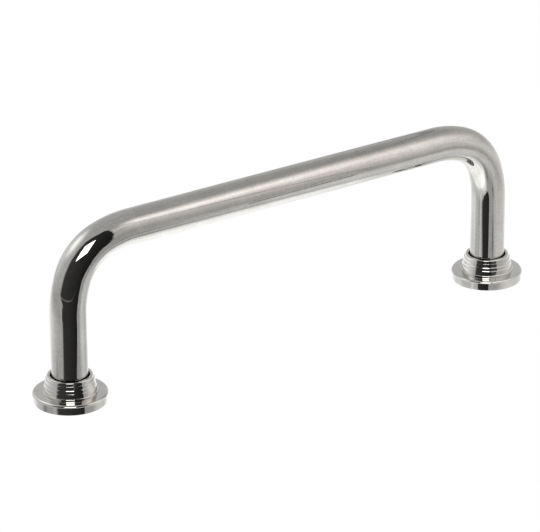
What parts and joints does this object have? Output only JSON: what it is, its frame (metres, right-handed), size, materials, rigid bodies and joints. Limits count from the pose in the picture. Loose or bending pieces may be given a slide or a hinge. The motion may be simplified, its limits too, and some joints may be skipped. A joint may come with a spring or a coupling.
{
  "type": "bridge pull handle",
  "caption": "Bridge pull handle of polished round bar, bent at both ends, with its tapped legs standing in stepped turned rosettes.",
  "frame": {"origin": "on the mounting face, midway between the two legs", "axes": "+X along the grip from the left leg to the right leg, +Z away from the mounting face towards the grip"},
  "size_m": [0.1466, 0.0186, 0.0455],
  "materials": {
    "bar_plating": "mirror-polished bright nickel plate",
    "rosette_plating": "turned and polished bright nickel plate"
  },
  "bodies": {
    "root": {"handle_bar": "bar_plating", "left_rosette": "rosette_plating", "right_rosette": "rosette_plating"}
  },
  "joints": []
}
